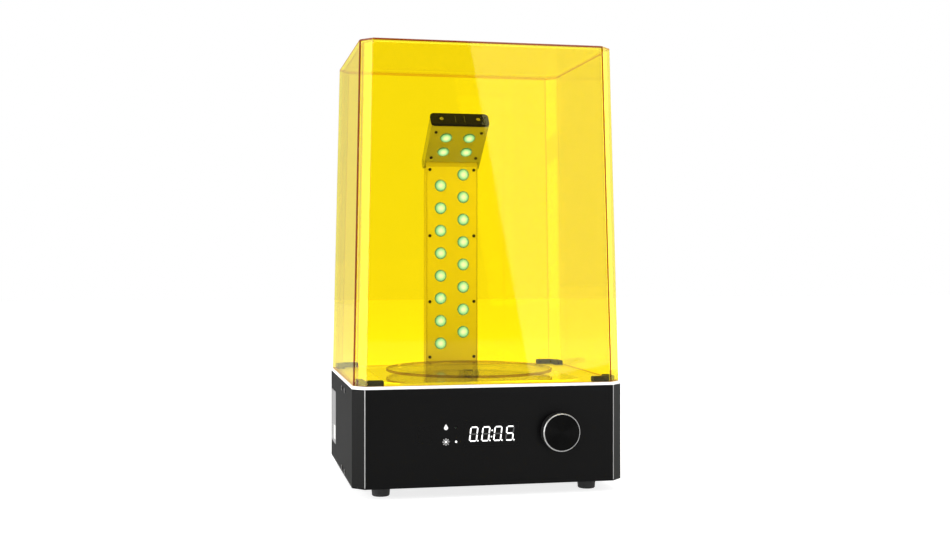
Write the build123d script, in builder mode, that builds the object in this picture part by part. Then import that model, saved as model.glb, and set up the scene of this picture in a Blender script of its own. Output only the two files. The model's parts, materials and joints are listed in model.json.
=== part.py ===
from build123d import *
from dataclasses import dataclass
from math import atan2, cos, hypot, radians, sin
import os

os.makedirs("parts", exist_ok=True)

# Resin wash and cure station: a metal base with a magnetic drive under its deck, a turntable, an
# ultraviolet lamp column with a tilting head, and a tinted cover that lifts off.
# Millimetres, +Z up, front at -Y. The origin is on the ground, midway across the whole outline,
# from the knob at the front to the rocker at the rear.

# ---------------------------------------------------------------- driving dimensions
body_width = 290.0
body_depth = 240.0
body_height = 102.0
corner_cut = 12.0
foot_height = 12.0
deck_thickness = 3.0
cover_height = 359.0

front_thickness = 3.0
sheet = 1.5
fit_gap = 0.1
thread_gap = 0.05
run_gap = 0.05

knob_radius = 20.0
knob_height = 12.0
knob_gap = 1.2

flange_rise = 1.8
flange_size = (17.0, 25.0)
rocker_tilt = 10.0
rocker_pivot = 5.4
rocker_face = (6.5, 8.2)
rocker_width = 10.0

# ---------------------------------------------------------------- levels and reference planes
rocker_radius = hypot(*rocker_face)
rocker_angle = atan2(rocker_face[1], rocker_face[0])
rocker_rise = rocker_radius * cos(rocker_angle - radians(rocker_tilt)) - rocker_pivot
centre_y = (knob_gap + knob_height - flange_rise - rocker_rise) / 2
side_x = body_width / 2
front_y = centre_y - body_depth / 2
rear_y = centre_y + body_depth / 2
tray_top = foot_height + sheet
deck_z = foot_height + body_height
deck_top = deck_z + deck_thickness


def facing_up(x, y, z):
    return Plane(origin=(x, y, z), x_dir=(1, 0, 0), z_dir=(0, 0, 1))


def facing_down(x, y, z):
    return Plane(origin=(x, y, z), x_dir=(1, 0, 0), z_dir=(0, 0, -1))


def facing_front(x, y, z):
    """A plane that looks towards -Y: its x is +X and its y is up."""
    return Plane(origin=(x, y, z), x_dir=(1, 0, 0), z_dir=(0, -1, 0))


def facing_rear(x, y, z):
    """A plane that looks towards +Y: its x is -X and its y is up."""
    return Plane(origin=(x, y, z), x_dir=(-1, 0, 0), z_dir=(0, 1, 0))


def facing_side(x, y, z, side):
    """A plane that looks towards -X (side -1) or +X (side 1): its x is side times Y and its y is up."""
    return Plane(origin=(x, y, z), x_dir=(0, side, 0), z_dir=(side, 0, 0))


def corners(x, y):
    return [(sx * x, sy * y) for sx in (-1, 1) for sy in (-1, 1)]


def write(builder, name):
    builder.part.label = name
    export_step(builder.part, f"parts/{name}.step")


# ---------------------------------------------------------------- screws
@dataclass
class Screw:
    shank: float
    head: float
    head_height: float
    length: float

    @property
    def hole(self):
        """Radius of a hole that it passes through."""
        return self.shank + 0.2

    @property
    def thread(self):
        """Radius of a hole that it bites into."""
        return self.shank + thread_gap


def screws(seats, screw, name):
    """Cross-head screws. A seat is the plane under one head, and looks out of the head."""
    with BuildPart() as group:
        for seat in seats:
            with BuildSketch(seat):
                Circle(screw.head)
            extrude(amount=screw.head_height)
            with BuildSketch(seat):
                Circle(screw.shank)
            extrude(amount=-screw.length)
            with BuildSketch(seat.offset(screw.head_height)):
                Rectangle(1.2 * screw.head, 0.3 * screw.head)
                Rectangle(0.3 * screw.head, 1.2 * screw.head)
            extrude(amount=-0.7 * screw.head_height, mode=Mode.SUBTRACT)
    write(group, name)


bite = 2.2
panel_screw = Screw(1.5, 2.7, 0.8, sheet + 2.0)
inner_screw = Screw(1.5, 2.8, 1.6, 2.0 + bite)
locator_screw = Screw(1.5, 2.8, 1.6, 12.0)
post_screw = Screw(1.5, 2.8, 0.9, 10.0)
foot_screw = Screw(2.0, 3.8, 2.2, 6.8)
column_screw = Screw(2.0, 3.6, 2.0, deck_thickness + 5.0)
plate_screw = Screw(1.0, 1.9, 0.7, 5.0)
cap_screw = Screw(1.25, 2.3, 0.8, 8.0)
hub_screw = Screw(0.8, 1.5, 0.7, 4.0)

# ---------------------------------------------------------------- cover
cover_inset = 1.5
cover_wall = 3.0
cover_taper = 7.5
cover_cut = 12.5
cover_edge = 1.0
cover_foot = (body_width - 2 * cover_inset, body_depth - 2 * cover_inset)
inner_cut = cover_cut - cover_wall * (2 - 2**0.5)
cover_top = deck_top + cover_height
roof_z = cover_top - cover_wall
roof_taper = cover_taper * (roof_z - deck_top) / cover_height

outer_rings = ((deck_top, 0, cover_cut), (cover_top, cover_taper, cover_cut))
inner_rings = ((deck_top, cover_wall, inner_cut), (roof_z, cover_wall + roof_taper, inner_cut))

with BuildPart() as cover:
    for z, inset, cut in outer_rings:
        with BuildSketch(facing_up(0, centre_y, z)) as ring:
            Rectangle(cover_foot[0] - 2 * inset, cover_foot[1] - 2 * inset)
            chamfer(ring.vertices(), cut)
    loft()
    chamfer(cover.faces().sort_by(Axis.Z)[-1].edges(), cover_edge)
    for z, inset, cut in inner_rings:
        with BuildSketch(facing_up(0, centre_y, z)) as ring:
            Rectangle(cover_foot[0] - 2 * inset, cover_foot[1] - 2 * inset)
            chamfer(ring.vertices(), cut)
    loft(mode=Mode.SUBTRACT)
write(cover, "cover")

# ---------------------------------------------------------------- cover locators on the deck corners
locator_gap = 0.8
locator_height = 5.5
locator_leg = 27.0
locator_width = 9.0
locator_sink = 2.0
locator_x = cover_foot[0] / 2 - cover_wall - locator_gap
locator_y = cover_foot[1] / 2 - cover_wall - locator_gap
post_x = side_x - 14.0
post_y = body_depth / 2 - 14.0
post_places = corners(post_x, post_y)

with BuildPart() as cover_locators:
    for sx, sy in corners(1, 1):
        with BuildSketch(facing_up(0, centre_y, deck_top)) as leg:
            Rectangle(2 * locator_x, 2 * locator_y)
            chamfer(leg.vertices(), inner_cut)
            with Locations((sx * locator_x, sy * locator_y)):
                Rectangle(2 * locator_leg, 2 * locator_leg, mode=Mode.INTERSECT)
            Rectangle(2 * (locator_x - locator_width), 2 * (locator_y - locator_width), mode=Mode.SUBTRACT)
        extrude(amount=locator_height)
    chamfer(cover_locators.faces().filter_by(Axis.Z).group_by(Axis.Z)[-1].edges(), 0.8)
    with Locations([facing_up(x, centre_y + y, deck_top + locator_height) for x, y in post_places]):
        CounterBoreHole(locator_screw.hole, locator_screw.head + 0.3, locator_sink)
write(cover_locators, "cover_locators")

locator_seats = [facing_up(x, centre_y + y, deck_top + locator_height - locator_sink) for x, y in post_places]
screws(locator_seats, locator_screw, "locator_screws")

# ---------------------------------------------------------------- corner posts
post_wall = 2.0
post_leg = 13.0
post_skin = 3.0
post_boss = 3.6
web_length = 9.5
leg_screw_x = side_x - corner_cut - post_leg / 2
leg_screw_z = (tray_top + 12.0, deck_z - 22.0)
leg_places = [(sx * leg_screw_x, z) for sx in (-1, 1) for z in leg_screw_z]
front_leg_y = front_y + front_thickness + post_wall


def post_points(sx, sy, panel):
    """Corner post about the body's centre: a cut face outside and a leg behind each panel."""
    x, y = side_x, body_depth / 2
    inner = x + y - corner_cut - post_skin * 2**0.5
    leg_x, leg_y = x - sheet - post_wall, y - panel - post_wall
    points = [
        (x, y - corner_cut),
        (x - corner_cut, y),
        (x - corner_cut, y - panel),
        (x - corner_cut - post_leg, y - panel),
        (x - corner_cut - post_leg, leg_y),
        (inner - leg_y, leg_y),
        (leg_x, inner - leg_x),
        (leg_x, y - corner_cut - post_leg),
        (x - sheet, y - corner_cut - post_leg),
        (x - sheet, y - corner_cut),
    ]
    return [(sx * px, sy * py) for px, py in points]


with BuildPart() as corner_posts:
    for sx, sy in corners(1, 1):
        panel = front_thickness if sy < 0 else sheet
        web_shift = web_length / 2 / 2**0.5
        with BuildSketch(facing_up(0, centre_y, tray_top)):
            Polygon(*post_points(sx, sy, panel), align=None)
            with Locations((sx * post_x, sy * post_y)):
                Circle(post_boss)
            with Locations((sx * (post_x + web_shift), sy * (post_y + web_shift))):
                Rectangle(web_length, post_wall, rotation=45 * sx * sy)
        extrude(amount=deck_z - tray_top)
    with Locations([facing_up(x, centre_y + y, deck_z) for x, y in post_places]):
        Hole(locator_screw.thread)
    with Locations([facing_rear(x, front_leg_y, z) for x, z in leg_places]):
        Hole(panel_screw.hole, post_wall)
    with Locations([facing_rear(x, rear_y - sheet, z) for x, z in leg_places]):
        Hole(panel_screw.thread, post_wall)
write(corner_posts, "corner_posts")

screws([facing_down(x, centre_y + y, foot_height) for x, y in post_places], post_screw, "post_screws")

# ---------------------------------------------------------------- lamp values
column_half = 32.0
column_depth = 15.6
column_wall = 1.6
hinge_radius = column_depth / 2
hinge_z = deck_top + 249.3
head_reach = 72.8
cap_overhang = (0.6, 2.2)
head_clearance = 1.0
raised_taper = cover_taper * (hinge_z + head_reach - deck_top) / cover_height
cover_inside = centre_y + cover_foot[1] / 2 - cover_wall - raised_taper
column_rear = cover_inside - head_clearance - cap_overhang[1]
column_front = column_rear - column_depth
hinge_y = column_front + hinge_radius
column_base = 7.0
column_seats = [(sx * 22.0, hinge_y) for sx in (-1, 1)]
lead_radius = 2.5
lead_hole = 3.5
lens_proud = 1.2

# ---------------------------------------------------------------- turntable and drive values
table_radius = 94.0
table_thickness = 3.0
table_lift = 4.0
table_gap = 2.8
table_y = column_front - lens_proud - table_gap - table_radius
reflector_half = (107.0, 88.0)
reflector_cut = 14.0
reflector_thickness = 0.8
hub_z = deck_top + reflector_thickness + 0.4
table_z = deck_top + reflector_thickness + table_lift
hub_radius = 11.5
spindle_radius = 3.0
spindle_flange = 6.0
bush_radius = 5.0
bush_roof = 1.0
stud_radius = 2.5

motor_side = 42.0
motor_height = 38.0
motor_pitch = 31.0
motor_boss = 11.0
shaft_radius = 2.5
shaft_depth = 12.0
shaft_bite = 2.0
motor_bore = shaft_depth + 2.0
rotor_radius = 33.0
rotor_thickness = 4.0
rotor_gap = 1.5
rotor_hub = (9.0, 7.0)
magnet_radius = 5.0
magnet_height = 3.0
magnet_ring = 24.0
bracket_thickness = 2.0
bracket_half = rotor_radius + 4.0
bracket_foot = 12.0
bracket_depth = 44.0
rotor_z = deck_z - rotor_gap - rotor_thickness
bracket_z = rotor_z - rotor_hub[1] - 2.0 - bracket_thickness
bracket_seats = corners(bracket_half + bracket_foot / 2, 14.0)

# ---------------------------------------------------------------- rails under the deck
rail_width = 16.0
rail_height = 15.0
rail_length = 180.0
rail_thickness = 2.0
rail_x = side_x - sheet
rail_screw_x = rail_x - rail_width / 2 - 1.0
rail_screw_y = (-72.0, 0.0, 72.0)
rail_seats = [(sx * rail_screw_x, centre_y + y) for sx in (-1, 1) for y in rail_screw_y]
side_screw_y = (-43.0, -15.0)
side_screw_z = (foot_height + 5.7, deck_z - 8.5)

with BuildPart() as deck_rails:
    for side in (-1, 1):
        profile = [
            (0, 0),
            (0, -rail_height),
            (-rail_thickness, -rail_height),
            (-rail_thickness, -rail_thickness),
            (-rail_width, -rail_thickness),
            (-rail_width, 0),
        ]
        with BuildSketch(facing_front(side * rail_x, centre_y + rail_length / 2, deck_z)):
            Polygon(*[(side * x, z) for x, z in profile], align=None)
        extrude(amount=rail_length)
        seats = [facing_side(side * rail_x, centre_y + y, side_screw_z[1], side) for y in side_screw_y]
        with Locations(seats):
            Hole(panel_screw.thread, rail_thickness)
    with Locations([facing_up(x, y, deck_z) for x, y in rail_seats]):
        Hole(inner_screw.hole, rail_thickness)
write(deck_rails, "deck_rails")

# ---------------------------------------------------------------- deck plate and mirror sheet
deck_bevel = 0.6
blind_holes = rail_seats + [(x, table_y + y) for x, y in bracket_seats]

with BuildPart() as deck_plate:
    with BuildSketch(facing_up(0, centre_y, deck_z)) as outline:
        Rectangle(body_width, body_depth)
        chamfer(outline.vertices(), corner_cut)
    extrude(amount=deck_thickness)
    chamfer(deck_plate.faces().sort_by(Axis.Z)[-1].edges(), deck_bevel)
    with Locations(facing_up(0, table_y, deck_top)):
        Hole(stud_radius + thread_gap)
    with Locations(facing_up(0, hinge_y, deck_top)):
        Hole(lead_hole)
    with Locations([facing_up(x, y, deck_top) for x, y in column_seats]):
        Hole(column_screw.hole)
    with Locations([facing_up(x, centre_y + y, deck_top) for x, y in post_places]):
        Hole(locator_screw.hole)
    with Locations([facing_down(x, y, deck_z) for x, y in blind_holes]):
        Hole(inner_screw.thread, bite)
write(deck_plate, "deck_plate")

with BuildPart() as reflector_sheet:
    with BuildSketch(facing_up(0, table_y, deck_top)) as outline:
        Rectangle(2 * reflector_half[0], 2 * reflector_half[1])
        chamfer(outline.vertices(), reflector_cut)
        Circle(spindle_flange + 0.5, mode=Mode.SUBTRACT)
    extrude(amount=reflector_thickness)
write(reflector_sheet, "reflector_sheet")

screws([facing_down(x, y, deck_z) for x, y in column_seats], column_screw, "column_screws")

# ---------------------------------------------------------------- side panels
for side, name in ((-1, "left_side_panel"), (1, "right_side_panel")):
    with BuildPart() as side_panel:
        with BuildSketch(facing_side(side * side_x, centre_y, (tray_top + deck_z) / 2, side)):
            Rectangle(body_depth - 2 * corner_cut - 2 * fit_gap, deck_z - tray_top)
        extrude(amount=-sheet)
        places = [(y, z) for y in side_screw_y for z in side_screw_z]
        with Locations([facing_side(side * side_x, centre_y + y, z, side) for y, z in places]):
            Hole(panel_screw.hole, sheet)
    write(side_panel, name)

# ---------------------------------------------------------------- front and rear panels
panel_width = body_width - 2 * corner_cut - 2 * fit_gap
panel_bevel = 1.2

display_z = foot_height + 53.8
window_size = (58.0, 24.0)
touch_place = (-70.7, foot_height + 54.4)
touch_size = (14.0, 15.0)
touch_sink = 1.0
touch_stem = 2.5
pipe_x = -38.0
pipe_z = (foot_height + 46.5, foot_height + 61.0)
pipe_radius = 1.2
knob_place = (72.3, foot_height + 54.5)
encoder_bush = 3.5
board_gap = 8.0
board_thickness = 1.6
control_board_size = (180.0, 36.0)
spacer_radius = 3.0
control_spacers = [(x, display_z + z) for x, z in corners(control_board_size[0] / 2 - 5.0, 12.0)]
panel_back = front_y + front_thickness
board_y = panel_back + board_gap

with BuildPart() as front_panel:
    with BuildSketch(facing_front(0, panel_back, (tray_top + deck_z) / 2)):
        Rectangle(panel_width, deck_z - tray_top)
    extrude(amount=front_thickness)
    front_face = front_panel.faces().sort_by(Axis.Y)[0]
    chamfer(front_face.edges().filter_by(Axis.Z), panel_bevel)
    with BuildSketch(facing_front(0, front_y, display_z)):
        Rectangle(window_size[0] + 2 * fit_gap, window_size[1] + 2 * fit_gap)
    extrude(amount=-front_thickness, mode=Mode.SUBTRACT)
    with BuildSketch(facing_front(touch_place[0], front_y, touch_place[1])):
        Rectangle(touch_size[0] + 2 * fit_gap, touch_size[1] + 2 * fit_gap)
    extrude(amount=-touch_sink, mode=Mode.SUBTRACT)
    with Locations(facing_front(touch_place[0], front_y, touch_place[1])):
        Hole(touch_stem + fit_gap)
    with Locations([facing_front(pipe_x, front_y, z) for z in pipe_z]):
        Hole(pipe_radius + fit_gap)
    with Locations(facing_front(knob_place[0], front_y, knob_place[1])):
        Hole(encoder_bush + fit_gap)
    with Locations([facing_rear(x, panel_back, z) for x, z in leg_places]):
        Hole(panel_screw.thread, bite)
write(front_panel, "front_panel")

inlet_z = foot_height + 28.0
jack_x = -78.0
jack_radius = 5.5
jack_bore = 3.2
jack_pin = 1.0
jack_depth = 11.0
switch_x = -104.0
switch_body = (13.0, 21.0)
switch_depth = 12.0
rear_inner = rear_y - sheet

with BuildPart() as rear_panel:
    with BuildSketch(facing_rear(0, rear_inner, (tray_top + deck_z) / 2)):
        Rectangle(panel_width, deck_z - tray_top)
    extrude(amount=sheet)
    with Locations(facing_rear(jack_x, rear_y, inlet_z)):
        Hole(jack_radius + fit_gap)
    with BuildSketch(facing_rear(switch_x, rear_y, inlet_z)):
        Rectangle(switch_body[0] + 2 * fit_gap, switch_body[1] + 2 * fit_gap)
    extrude(amount=-sheet, mode=Mode.SUBTRACT)
    with Locations([facing_rear(x, rear_y, z) for x, z in leg_places]):
        Hole(panel_screw.hole, sheet)
    with BuildSketch(facing_rear(40.0, rear_y, inlet_z + 22.0)):
        with GridLocations(0, 8.0, 1, 5):
            SlotOverall(60.0, 3.0)
    extrude(amount=-sheet, mode=Mode.SUBTRACT)
write(rear_panel, "rear_panel")

panel_seats = [facing_side(side * side_x, centre_y + y, z, side) for side in (-1, 1) for y in side_screw_y
               for z in side_screw_z]
panel_seats += [facing_rear(x, y, z) for x, z in leg_places for y in (front_leg_y, rear_y)]
screws(panel_seats, panel_screw, "panel_screws")

# ---------------------------------------------------------------- bottom tray and feet
tray_flange = 12.0
foot_places = corners(112.5, 90.0)
foot_radius = 10.2
foot_base = 9.3
foot_edge = 0.8
foot_sink = 4.0
driver_size = (96.0, 64.0)
lead_board_y = 26.0
driver_y = hinge_y - lead_board_y
driver_seats = corners(driver_size[0] / 2 - 5.0, driver_size[1] / 2 - 5.0)
driver_z = tray_top + board_gap
connector_height = 8.0

with BuildPart() as bottom_tray:
    with BuildSketch(facing_up(0, centre_y, foot_height)) as outline:
        Rectangle(body_width, body_depth)
        chamfer(outline.vertices(), corner_cut)
    extrude(amount=sheet)
    for side in (-1, 1):
        with BuildSketch(facing_up(side * (rail_x - sheet / 2), centre_y, tray_top)):
            Rectangle(sheet, rail_length)
        extrude(amount=tray_flange)
        flange_seats = [facing_side(side * rail_x, centre_y + y, side_screw_z[0], side) for y in side_screw_y]
        with Locations(flange_seats):
            Hole(panel_screw.thread, sheet)
    with Locations([facing_up(x, centre_y + y, tray_top) for x, y in post_places]):
        Hole(post_screw.hole, sheet)
    with Locations([facing_up(x, centre_y + y, tray_top) for x, y in foot_places]):
        Hole(foot_screw.thread, sheet)
    for side in (-1, 1):
        with BuildSketch(facing_up(side * 60.0, centre_y - 45.0, foot_height)):
            with GridLocations(0, 9.0, 1, 7):
                SlotOverall(46.0, 3.0)
        extrude(amount=sheet, mode=Mode.SUBTRACT)
write(bottom_tray, "bottom_tray")

with BuildPart() as feet:
    for x, y in foot_places:
        profile = [
            (0, 0),
            (foot_base - foot_edge, 0),
            (foot_base, foot_edge),
            (foot_radius, foot_height),
            (0, foot_height),
        ]
        with BuildSketch(facing_front(x, centre_y + y, 0)):
            Polygon(*profile, align=None)
        revolve(axis=Axis((x, centre_y + y, 0), (0, 0, 1)))
    with Locations([facing_down(x, centre_y + y, 0) for x, y in foot_places]):
        CounterBoreHole(foot_screw.hole, foot_screw.head + 0.4, foot_height - foot_sink)
write(feet, "feet")

foot_seats = [facing_down(x, centre_y + y, foot_height - foot_sink) for x, y in foot_places]
screws(foot_seats, foot_screw, "foot_screws")

label_place = (centre_y + 79.0, foot_height + 50.5)
label_size = (48.0, 61.0)
label_thickness = 0.2
label_corner = 2.0

with BuildPart() as side_label:
    with BuildSketch(facing_side(-side_x, *label_place, -1)):
        RectangleRounded(*label_size, label_corner)
    extrude(amount=label_thickness)
write(side_label, "side_label")

# ---------------------------------------------------------------- magnetic drive under the deck
with BuildPart() as motor_bracket:
    outline = [
        (-bracket_half - bracket_foot, deck_z),
        (-bracket_half - bracket_foot, deck_z - bracket_thickness),
        (-bracket_half - bracket_thickness, deck_z - bracket_thickness),
        (-bracket_half - bracket_thickness, bracket_z),
        (bracket_half + bracket_thickness, bracket_z),
        (bracket_half + bracket_thickness, deck_z - bracket_thickness),
        (bracket_half + bracket_foot, deck_z - bracket_thickness),
        (bracket_half + bracket_foot, deck_z),
        (bracket_half, deck_z),
        (bracket_half, bracket_z + bracket_thickness),
        (-bracket_half, bracket_z + bracket_thickness),
        (-bracket_half, deck_z),
    ]
    with BuildSketch(facing_front(0, table_y + bracket_depth / 2, 0)):
        Polygon(*outline, align=None)
    extrude(amount=bracket_depth)
    with Locations([facing_up(x, table_y + y, deck_z) for x, y in bracket_seats]):
        Hole(inner_screw.hole, bracket_thickness)
    with Locations(facing_up(0, table_y, bracket_z + bracket_thickness)):
        Hole(motor_boss + fit_gap, bracket_thickness)
        with GridLocations(motor_pitch, motor_pitch, 2, 2):
            Hole(inner_screw.hole, bracket_thickness)
write(motor_bracket, "motor_bracket")

with BuildPart() as drive_motor:
    with BuildSketch(facing_up(0, table_y, bracket_z - motor_height)) as outline:
        Rectangle(motor_side, motor_side)
        chamfer(outline.vertices(), 4.0)
    extrude(amount=motor_height)
    with BuildSketch(facing_up(0, table_y, bracket_z)):
        Circle(motor_boss)
    extrude(amount=bracket_thickness)
    with Locations(facing_up(0, table_y, bracket_z + bracket_thickness)):
        Hole(shaft_radius + run_gap, motor_bore)
    with Locations(facing_up(0, table_y, bracket_z)):
        with GridLocations(motor_pitch, motor_pitch, 2, 2):
            Hole(inner_screw.thread, bite)
write(drive_motor, "drive_motor")

shaft_foot = bracket_z + bracket_thickness - shaft_depth
with BuildPart() as motor_shaft:
    with BuildSketch(facing_up(0, table_y, shaft_foot)):
        Circle(shaft_radius)
    extrude(amount=rotor_z + shaft_bite - shaft_foot)
write(motor_shaft, "motor_shaft")

with BuildPart() as magnet_rotor:
    with BuildSketch(facing_up(0, table_y, rotor_z)):
        Circle(rotor_radius)
    extrude(amount=rotor_thickness)
    with BuildSketch(facing_down(0, table_y, rotor_z)):
        Circle(rotor_hub[0])
    extrude(amount=rotor_hub[1])
    with Locations(facing_down(0, table_y, rotor_z - rotor_hub[1])):
        Hole(shaft_radius + thread_gap, rotor_hub[1] + shaft_bite)
    with Locations(facing_up(0, table_y, rotor_z + rotor_thickness)):
        with PolarLocations(magnet_ring, 6):
            Hole(magnet_radius + thread_gap, magnet_height)
write(magnet_rotor, "magnet_rotor")

with BuildPart() as rotor_magnets:
    with BuildSketch(facing_up(0, table_y, rotor_z + rotor_thickness - magnet_height)):
        with PolarLocations(magnet_ring, 6):
            Circle(magnet_radius)
    extrude(amount=magnet_height)
write(rotor_magnets, "rotor_magnets")

# ---------------------------------------------------------------- turntable above the deck
bush_top = table_z
pin_top = bush_top - bush_roof
flange_thickness = 0.8
rib_count = 24
rib_radius = 0.7
small_magnet = (2.0, 2.0)
hub_ring = 8.3

with BuildPart() as deck_spindle:
    with BuildSketch(facing_up(0, table_y, deck_z)):
        Circle(stud_radius)
    extrude(amount=deck_thickness)
    with BuildSketch(facing_up(0, table_y, deck_top)):
        Circle(spindle_flange)
    extrude(amount=flange_thickness)
    with BuildSketch(facing_up(0, table_y, deck_top + flange_thickness)):
        Circle(spindle_radius)
    extrude(amount=pin_top - deck_top - flange_thickness)
write(deck_spindle, "deck_spindle")

with BuildPart() as hub_bush:
    with BuildSketch(facing_up(0, table_y, hub_z)):
        Circle(bush_radius)
    extrude(amount=bush_top - hub_z)
    with Locations(facing_down(0, table_y, hub_z)):
        Hole(spindle_radius + run_gap, pin_top - hub_z)
write(hub_bush, "hub_bush")

with BuildPart() as turntable_hub:
    with BuildSketch(facing_up(0, table_y, hub_z)):
        Circle(hub_radius - rib_radius)
        with PolarLocations(hub_radius - rib_radius, rib_count):
            Circle(rib_radius)
        Circle(bush_radius + run_gap, mode=Mode.SUBTRACT)
    extrude(amount=table_z - hub_z)
    with Locations(facing_down(0, table_y, hub_z)):
        with PolarLocations(hub_ring, 3):
            Hole(small_magnet[0] + thread_gap, small_magnet[1])
        with PolarLocations(hub_ring, 3, start_angle=60):
            CounterBoreHole(hub_screw.hole, hub_screw.head + 0.1, hub_screw.head_height)
write(turntable_hub, "turntable_hub")

with BuildPart() as hub_magnets:
    with BuildSketch(facing_up(0, table_y, hub_z)):
        with PolarLocations(hub_ring, 3):
            Circle(small_magnet[0])
    extrude(amount=small_magnet[1])
write(hub_magnets, "hub_magnets")

with BuildPart() as turntable_disc:
    with BuildSketch(facing_up(0, table_y, table_z)):
        Circle(table_radius)
    extrude(amount=table_thickness)
    chamfer(turntable_disc.faces().filter_by(Axis.Z).edges(), 0.4)
    with Locations(facing_down(0, table_y, table_z)):
        with PolarLocations(hub_ring, 3, start_angle=60):
            Hole(hub_screw.thread, 1.8)
write(turntable_disc, "turntable_disc")

hub_seat_z = hub_z + hub_screw.head_height
hub_turns = [radians(angle) for angle in (60, 180, 300)]
hub_seats = [facing_down(hub_ring * cos(turn), table_y - hub_ring * sin(turn), hub_seat_z) for turn in hub_turns]
screws(hub_seats, hub_screw, "hub_screws")

# ---------------------------------------------------------------- display, keys and control board
with BuildPart() as display_window:
    with BuildSketch(facing_front(0, panel_back, display_z)):
        Rectangle(*window_size)
    extrude(amount=front_thickness)
write(display_window, "display_window")

window_margin = (2.0, 1.0)

with BuildPart() as display_module:
    with BuildSketch(facing_rear(0, panel_back, display_z)):
        Rectangle(window_size[0] - 2 * window_margin[0], window_size[1] - 2 * window_margin[1])
    extrude(amount=board_gap)
write(display_module, "display_module")

with BuildPart() as touch_pad:
    with BuildSketch(facing_rear(touch_place[0], front_y, touch_place[1])):
        Rectangle(*touch_size)
    extrude(amount=touch_sink)
    with BuildSketch(facing_rear(touch_place[0], front_y + touch_sink, touch_place[1])):
        Circle(touch_stem)
    extrude(amount=board_y - front_y - touch_sink)
write(touch_pad, "touch_pad")

with BuildPart() as indicator_pipes:
    for z in pipe_z:
        with BuildSketch(facing_rear(pipe_x, front_y, z)):
            Circle(pipe_radius)
        extrude(amount=board_y - front_y)
write(indicator_pipes, "indicator_pipes")

header_x = -46.0
header_pitch = 30.0
header_size = (16.0, 8.0)
header_height = 5.0

with BuildPart() as control_board:
    with BuildSketch(facing_rear(0, board_y, display_z)):
        Rectangle(*control_board_size)
    extrude(amount=board_thickness)
    with Locations([facing_rear(x, board_y + board_thickness, z) for x, z in control_spacers]):
        Hole(inner_screw.hole, board_thickness)
    with BuildSketch(facing_rear(header_x, board_y + board_thickness, display_z)):
        with GridLocations(header_pitch, 0, 2, 1):
            Rectangle(*header_size)
    extrude(amount=header_height)
write(control_board, "control_board")

with BuildPart() as board_spacers:
    for x, z in control_spacers:
        with BuildSketch(facing_rear(x, panel_back, z)):
            RegularPolygon(spacer_radius, 6)
        extrude(amount=board_gap)
    with Locations([facing_rear(x, board_y, z) for x, z in control_spacers]):
        Hole(inner_screw.thread, board_gap - 1.0)
    for x, y in driver_seats:
        with BuildSketch(facing_up(x, driver_y + y, tray_top)):
            RegularPolygon(spacer_radius, 6)
        extrude(amount=board_gap)
    with Locations([facing_up(x, driver_y + y, driver_z) for x, y in driver_seats]):
        Hole(inner_screw.thread, board_gap)
write(board_spacers, "board_spacers")

connector_size = (14.0, 8.0)
driver_connectors = [(-34.0, 20.0), (-34.0, -18.0), (0.0, lead_board_y), (32.0, -18.0)]
capacitor_radius = 6.0
capacitor_height = 16.0
capacitor_places = [(22.0, 14.0), (38.0, 14.0)]

with BuildPart() as driver_board:
    with BuildSketch(facing_up(0, driver_y, driver_z)):
        Rectangle(*driver_size)
    extrude(amount=board_thickness)
    with Locations([facing_up(x, driver_y + y, driver_z + board_thickness) for x, y in driver_seats]):
        Hole(inner_screw.hole, board_thickness)
    with BuildSketch(facing_up(0, driver_y, driver_z + board_thickness)):
        with Locations(driver_connectors):
            Rectangle(*connector_size)
    extrude(amount=connector_height)
    with BuildSketch(facing_up(0, driver_y, driver_z + board_thickness)):
        with Locations(capacitor_places):
            Circle(capacitor_radius)
    extrude(amount=capacitor_height)
write(driver_board, "driver_board")

with BuildPart() as lamp_lead:
    with BuildSketch(facing_up(0, hinge_y, driver_z + board_thickness + connector_height)):
        Circle(lead_radius)
    extrude(amount=deck_top + column_base - driver_z - board_thickness - connector_height)
write(lamp_lead, "lamp_lead")

# ---------------------------------------------------------------- rotary encoder and knob
encoder_half = 6.5
encoder_shaft_radius = 3.0
plunger_radius = 4.6
plunger_thickness = 2.0
press_travel = 0.5
press_room = press_travel + 0.5
plunger_y = board_y - press_room - plunger_thickness - 1.0
nut_height = 2.0
nut_radius = 6.0
knob_skirt = 17.0
knob_recess = 4.5
knob_bore = 6.0
knob_foot_y = front_y - knob_gap
knob_roof_y = knob_foot_y - knob_recess

with BuildPart() as encoder_body:
    with BuildSketch(facing_rear(knob_place[0], panel_back, knob_place[1])):
        Rectangle(2 * encoder_half, 2 * encoder_half)
    extrude(amount=board_gap)
    with BuildSketch(facing_front(knob_place[0], panel_back, knob_place[1])):
        Circle(encoder_bush)
    extrude(amount=front_thickness + nut_height)
    with Locations(facing_front(knob_place[0], front_y - nut_height, knob_place[1])):
        Hole(encoder_shaft_radius + run_gap, front_thickness + nut_height + board_gap - 1.0)
    with BuildSketch(facing_front(knob_place[0], board_y - 1.0, knob_place[1])):
        Circle(plunger_radius + run_gap)
    extrude(amount=press_room + plunger_thickness, mode=Mode.SUBTRACT)
write(encoder_body, "encoder_body")

with BuildPart() as encoder_nut:
    with BuildSketch(facing_front(knob_place[0], front_y, knob_place[1])):
        RegularPolygon(nut_radius, 6)
        Circle(encoder_bush + thread_gap, mode=Mode.SUBTRACT)
    extrude(amount=nut_height)
write(encoder_nut, "encoder_nut")

with BuildPart() as press_plunger:
    with BuildSketch(facing_rear(knob_place[0], plunger_y, knob_place[1])):
        Circle(plunger_radius)
    extrude(amount=plunger_thickness)
write(press_plunger, "press_plunger")

with BuildPart() as encoder_shaft:
    with BuildSketch(facing_front(knob_place[0], plunger_y, knob_place[1])):
        Circle(encoder_shaft_radius)
    extrude(amount=plunger_y - knob_roof_y + knob_bore)
write(encoder_shaft, "encoder_shaft")

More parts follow.
